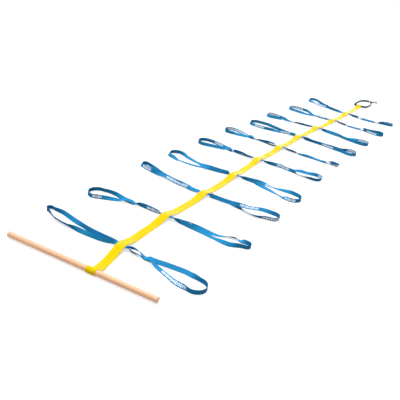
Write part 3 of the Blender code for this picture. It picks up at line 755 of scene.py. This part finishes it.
class LADDER_OT_stitching(bpy.types.Operator):
    """Sew each rung and each lap"""

    bl_idname = "ladder.stitching"
    bl_label = "Stitching"

    def execute(self, context):
        sizes, colours = context.scene.ladder_sizes, context.scene.ladder_colours
        thread = thread_finish("bonded_nylon_thread", colours.thread)
        half = sizes.strap_width / 2 - SEAM_MARGIN
        for k in range(1, RUNGS + 1):
            middle = rung_place(k) + UP * (LIFT + sizes.strap_thickness)
            rows = stitched_box(middle, ACROSS * half, ALONG * RUNG_BOX_HALF)
            piece = stitched(f"rung_stitching_{k}", rows, thread)
            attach(piece, f"strap_{k}")
        way = Vector((math.cos(BAR_SKEW), math.sin(BAR_SKEW), 0))
        top = UP * 2 * sizes.strap_thickness
        near, far = Vector((EYE_X, EYE_Y, 0)), Vector((END_EYE_X, END_EYE_Y, 0))
        for name, body, place, radius, side, ahead in (
            ("bar_eye_stitching", "eye", near, EYE_RADIUS, way, UP.cross(way)),
            ("end_eye_stitching", "strap_11", far, END_EYE_RADIUS, ACROSS, -ALONG),
        ):
            middle = place + ahead * (EYE_FALL + radius + LAP_BOX_AHEAD) + top
            piece = stitched(name, stitched_box(middle, side * half, ahead * LAP_BOX_HALF), thread)
            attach(piece, body)
        return {"FINISHED"}


# The hand loops
def laid_down(centres, halves, places, height, fall, alone):
    """A loop's centres held at a height at place 0 and let down until its strands rest on the floor.

    Facing points, counted from the loop's two ends, rest at one height, but for the share alone.
    """
    lows = [centre.z - half for centre, half in zip(centres, halves)]
    settled = []
    for centre, at, own, other, share in zip(centres, places, lows, reversed(lows), alone):
        lowest = own * share + min(own, other) * (1 - share)
        held = min(max(1 - at / fall, 0), 1) ** 2
        settled.append(centre + UP * (height * held - lowest * (1 - held)))
    return settled


def held_turn(turn, most):
    """A turn, held to the most that there is room for either way."""
    return min(max(turn, -most), most)


def resting_half(width_way, width, thickness):
    """How far a tape reaches below its middle line, from the direction of its width."""
    rise = abs(width_way.normalized().z)
    return rise * width / 2 + thickness / 2 * (1 - rise)


def loop_rows(side, shares):
    """One hand loop, root to tip and back: centres, widths, shares of its reach, how far each rests alone."""
    placing, parts, rolls, leans, tilts = shares
    reach, swing, bow = (share * LOOP_REACH for share in placing)
    least = (TAPE_THICKNESS + TAPE_GAP) / LOOP_REACH
    parting = ((0, least), *[(at, max(part, least)) for at, part in zip(PART_AT, parts)])
    flat = 180 if rolls[0] > UNDER_ROLL else 0
    roll = ((0, flat), (ROOT_HOLD, flat), *zip(ROLL_AT, rolls))
    leaning, tilting = (((0, 0), (LEVEL_TO, 0), *zip(LEAN_AT, turns)) for turns in (leans, tilts))
    tip_radius = parting[-1][1] * LOOP_REACH / 2
    outward = ACROSS * side

    def place(at, strand, turned=0.0):
        """A point at a share of the reach, on the strand at +1 or -1, or on the round of the tip."""
        angle = math.radians(eased(roll, at))
        width = Vector((0, math.cos(angle), math.sin(angle)))
        apart = width.cross(ACROSS) * strand * math.cos(turned) + outward * math.sin(turned)
        centre = outward * (STRAP_WIDTH / 2 + CLEARANCE + at * (reach - tip_radius))
        centre += ALONG * (swing * at + bow * (1 - at)) * at
        half = eased(parting, at) * LOOP_REACH / 2
        least_half = (TAPE_THICKNESS + TAPE_GAP) / 2
        lean = math.radians(eased(leaning, at)) * math.sin(angle)
        tilt = math.radians(eased(tilting, at)) * math.sin(angle) ** 2
        lean = held_turn(lean, math.asin(min((half - least_half) / (TAPE_WIDTH / 2), 1)))
        lean += held_turn(tilt, math.acos(min(least_half / half, 1))) * strand * math.cos(turned)
        alone = min(max(2 * half / TAPE_WIDTH - 0.5, 0), 1)
        alone *= alone * (3 - 2 * alone)
        return centre + apart * half, width * math.cos(lean) + apart * math.sin(lean), at, alone

    out = [(step / LOOP_STEPS) ** ROOT_CROWDING for step in range(LOOP_STEPS + 1)]
    bend = [place(1, 1, math.pi * step / TIP_STEPS) for step in range(1, TIP_STEPS)]
    return [place(at, 1) for at in out] + bend + [place(at, -1) for at in reversed(out)]


class LADDER_OT_hand_loops(bpy.types.Operator):
    """Make the twenty hand loops and the tape under each rung"""

    bl_idname = "ladder.hand_loops"
    bl_label = "Hand loops"

    def execute(self, context):
        sizes, colours = context.scene.ladder_sizes, context.scene.ladder_colours
        width, thickness = sizes.tape_width, sizes.tape_thickness
        plain = webbing_finish("woven_polyester_blue", colours.tape, width, TAPE_RIB)
        for k in range(1, RUNGS + 1):
            place = rung_place(k)
            for side, name, rows, runs in (
                (-1, "left", LEFT_LOOPS, LEFT_MARKS),
                (1, "right", RIGHT_LOOPS, RIGHT_MARKS),
            ):
                outward = ACROSS * side
                centres, widths, places, alone = zip(*loop_rows(side, rows[k - 1]))
                centres = [place + centre for centre in centres]
                halves = [resting_half(way, width, thickness) for way in widths]
                fall = ROOT_FALL / (rows[k - 1][0][0] * LOOP_REACH)
                centres = laid_down(centres, halves, places, ROOT_HEIGHT, fall, alone)
                first = [centres[0] - outward * inside for inside in reversed(INNER_ENDS)]
                last = [centres[-1] - outward * inside for inside in INNER_ENDS]
                widths = [widths[0]] * len(first) + list(widths) + [widths[-1]] * len(last)
                blue = f"woven_polyester_blue_{name}_{k}"
                finish = webbing_finish(blue, colours.tape, width, TAPE_RIB, colours.marks, runs.get(k, ()))
                line = first + centres + last
                piece = woven_piece(f"{name}_hand_loop_{k}", line, widths, width, thickness, finish)
                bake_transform(piece)
                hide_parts(f"{name}_loop_{k}")
            reach = STRAP_WIDTH / 2 - PLY_MARGIN
            step = (TAPE_THICKNESS + TAPE_GAP) / 2
            for ply, height in (("upper", step), ("lower", -step)):
                middle = place + UP * (ROOT_HEIGHT + height)
                centres = [middle + ACROSS * reach * t for t in (-1, -0.5, 0, 0.5, 1)]
                sides = [ALONG] * len(centres)
                piece = woven_piece(f"rung_{ply}_ply_{k}", centres, sides, width, thickness, plain)
                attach(piece, f"strap_{k}")
                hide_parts(f"rung_tape_{k}")
        return {"FINISHED"}


# The end loop and its clip
def end_line():
    """The middle line of the end loop, from the far eye to the bight that holds the clip."""
    eye = Vector((END_EYE_X, END_EYE_Y, 0))
    return through([eye + (ACROSS * x + ALONG * y) * END_LOOP_LENGTH for x, y in END_LINE], END_LINE_STEPS)


def along_line(line, share):
    """The point and heading at a share of a line's points."""
    place = min(max(share, 0), 1) * (len(line) - 1)
    i = min(int(place), len(line) - 2)
    return line[i].lerp(line[i + 1], place - i), (line[i + 1] - line[i]).normalized()


class LADDER_OT_end_loop(bpy.types.Operator):
    """Make the tape loop in the far eye"""

    bl_idname = "ladder.end_loop"
    bl_label = "End loop"

    def execute(self, context):
        sizes, colours = context.scene.ladder_sizes, context.scene.ladder_colours
        width, thickness = sizes.end_tape_width, sizes.tape_thickness
        teal = webbing_finish("woven_polyester_teal", colours.end_tape, width, TAPE_RIB)
        radius = CLIP_ROD_RADIUS + CLEARANCE + TAPE_THICKNESS / 2
        height = CLIP_ROD_RADIUS + CLEARANCE + TAPE_THICKNESS
        line = end_line()
        half = [Vector((x * END_LOOP_WIDTH, y, 0)) for x, y in END_HALF] + [Vector((radius, 1, 0))]
        strands = []
        for strand in (1, -1):
            rows = []
            for x, y, _ in through(half, END_HALF_STEPS):
                point, heading = along_line(line, y)
                right = (heading if y > 0 else ALONG).cross(UP)
                angle = math.radians(eased(END_TWIST, max(y, 0)))
                lateral = right * math.sin(angle) + UP * math.cos(angle)
                width_way = UP * math.sin(angle) - right * math.cos(angle)
                rows.append((point + lateral * x * strand, width_way, y))
            strands.append(rows)
        there, back = strands
        bight, heading = along_line(line, 1)
        bend = []
        for step in range(1, BIGHT_STEPS):
            angle = math.pi * step / BIGHT_STEPS
            way = UP * math.cos(angle) + heading * math.sin(angle)
            bend.append((bight + way * radius, there[-1][1], 1))
        rows = there + bend + back[::-1]
        centres, sides, places = zip(*rows)
        halves = [resting_half(way, width, thickness) for way in sides]
        eye_height = END_EYE_RADIUS + STRAP_THICKNESS
        settled = laid_down(centres, halves, places, eye_height, END_FALL, [0] * len(rows))
        first = len(there)
        settled[first : first + len(bend)] = [c + UP * height for c in centres[first : first + len(bend)]]
        piece = woven_piece("end_tape_loop", settled, sides, width, thickness, teal)
        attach(piece, "end_loop")
        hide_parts("end_loop")
        return {"FINISHED"}


class LADDER_OT_clip(bpy.types.Operator):
    """Finish the snap clip's rod, gate and rivet"""

    bl_idname = "ladder.clip"
    bl_label = "Clip"

    def execute(self, context):
        colours = context.scene.ladder_colours
        finishes = {
            "clip_body": metal_finish("bead_blasted_aluminium", colours.clip, 0.38),
            "clip_gate": metal_finish("red_anodised_aluminium", colours.gate, 0.34, 0.8),
            "gate_rivet": metal_finish("bright_steel", colours.rivet, 0.28),
        }
        for name, finish in finishes.items():
            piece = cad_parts[name]
            piece.data.materials.clear()
            piece.data.materials.append(finish)
        return {"FINISHED"}


class LADDER_OT_bar(bpy.types.Operator):
    """Turn the wooden bar"""

    bl_idname = "ladder.bar"
    bl_label = "Bar"

    def execute(self, context):
        sizes, colours = context.scene.ladder_sizes, context.scene.ladder_colours
        low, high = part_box("wooden_bar")
        deselect()
        bpy.ops.mesh.primitive_cylinder_add(
            vertices=BAR_SIDES, radius=sizes.bar_diameter / 2, depth=sizes.bar_length, end_fill_type="NGON"
        )
        bar = bpy.context.object
        bar.name = bar.data.name = "turned_bar"
        bpy.ops.object.mode_set(mode="EDIT")
        bpy.ops.mesh.select_all(action="DESELECT")
        bpy.ops.object.mode_set(mode="OBJECT")
        for face in bar.data.polygons:
            face.select = abs(face.normal.z) > 0.9
        bpy.ops.object.mode_set(mode="EDIT")
        bpy.ops.mesh.region_to_loop()
        bpy.ops.mesh.bevel(offset=BAR_EDGE, segments=BAR_EDGE_STEPS, profile=BAR_EDGE_PROFILE)
        bpy.ops.object.mode_set(mode="OBJECT")
        bar.rotation_euler = (0, math.radians(90), BAR_SKEW)
        bar.location = (low + high) / 2
        settle(bar)
        bpy.ops.object.shade_smooth_by_angle(angle=math.radians(35))
        bar.data.materials.clear()
        bar.data.materials.append(beech_finish("oiled_beech", colours.beech))
        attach(bar, "bar")
        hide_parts("wooden_bar")
        return {"FINISHED"}


# The stage
def looked_at(tree):
    """1 where the camera looks, straight, in gloss or through glass, and 0 for the light on the pieces."""
    path = node(tree, "LightPath").outputs
    direct = node(tree, "Math.MAXIMUM", path["Is Camera Ray"], path["Is Glossy Ray"])
    return node(tree, "Math.MAXIMUM", direct, path["Is Transmission Ray"])


class LADDER_OT_stage(bpy.types.Operator):
    """Lay the floor and set the light and the camera"""

    bl_idname = "ladder.stage"
    bl_label = "Stage"

    def execute(self, context):
        scene = context.scene
        white = (1, 1, 1, 1)
        deselect()
        bpy.ops.mesh.primitive_plane_add(size=FLOOR_SIZE, location=(0, 0, -FLOOR_DROP))
        floor = bpy.context.object
        floor.name = "floor"
        made = bpy.data.materials.new("white_paper")
        made.use_nodes = True
        tree = made.node_tree
        tree.nodes.clear()
        dim = node(tree, "BsdfDiffuse", Color=linear(scene.ladder_colours.floor))
        pale = node(tree, "BsdfDiffuse", Color=FLOOR_PALE)
        pale = node(tree, "AddShader", pale, node(tree, "Emission", Color=white, Strength=FLOOR_LIFT))
        node(tree, "OutputMaterial", Surface=node(tree, "MixShader", looked_at(tree), dim, pale))
        floor.data.materials.append(made)

        world = bpy.data.worlds.new("studio")
        scene.world = world
        world.use_nodes = True
        tree = world.node_tree
        tree.nodes.clear()
        fill = node(tree, "Background", Color=white, Strength=WORLD_FILL)
        backdrop = node(tree, "Background", Color=white, Strength=1.0)
        node(tree, "OutputWorld", Surface=node(tree, "MixShader", looked_at(tree), fill, backdrop))

        for name, way, power, spread in LAMPS:
            bpy.ops.object.light_add(type="SUN", location=Vector(way) * LAMP_DISTANCE)
            lamp = bpy.context.object
            lamp.name = name
            lamp.data.energy = power
            lamp.data.angle = math.radians(spread)
            lamp.rotation_euler = Vector(way).to_track_quat("Z", "Y").to_euler()

        bpy.ops.object.camera_add(location=CAMERA_AT)
        camera = bpy.context.object
        turn = Matrix((CAMERA_RIGHT, CAMERA_TOP, CAMERA_RIGHT.cross(CAMERA_TOP))).transposed()
        camera.rotation_euler = turn.to_euler()
        camera.data.lens = CAMERA_LENS
        camera.data.sensor_width = 36
        scene.camera = camera
        scene.view_settings.view_transform = "Standard"
        return {"FINISHED"}


class LADDER_PT_panel(bpy.types.Panel):
    """Lists the ladder's sizes, colours and steps"""

    bl_idname = "LADDER_PT_panel"
    bl_label = "Agility ladder"
    bl_space_type = "VIEW_3D"
    bl_region_type = "UI"
    bl_category = "Ladder"

    def draw(self, context):
        for group in (context.scene.ladder_sizes, context.scene.ladder_colours):
            for name in group.__annotations__:
                self.layout.prop(group, name)
        for step in STEPS:
            self.layout.operator(step.bl_idname)


STEPS = (
    LADDER_OT_stage,
    LADDER_OT_bar,
    LADDER_OT_strap,
    LADDER_OT_stitching,
    LADDER_OT_hand_loops,
    LADDER_OT_end_loop,
    LADDER_OT_clip,
)
CLASSES = (LadderSizes, LadderColours, *STEPS, LADDER_PT_panel)


def register():
    """Register the ladder's classes and settings."""
    for kind in CLASSES:
        bpy.utils.register_class(kind)
    bpy.types.Scene.ladder_sizes = bpy.props.PointerProperty(type=LadderSizes)
    bpy.types.Scene.ladder_colours = bpy.props.PointerProperty(type=LadderColours)


def unregister():
    """Take the ladder's classes and settings away."""
    del bpy.types.Scene.ladder_colours
    del bpy.types.Scene.ladder_sizes
    for kind in reversed(CLASSES):
        bpy.utils.unregister_class(kind)


def main():
    """Build every piece in order."""
    register()
    bpy.ops.ladder.stage()
    bpy.ops.ladder.bar()
    bpy.ops.ladder.strap()
    bpy.ops.ladder.stitching()
    bpy.ops.ladder.hand_loops()
    bpy.ops.ladder.end_loop()
    bpy.ops.ladder.clip()


if __name__ == "__main__":
    main()
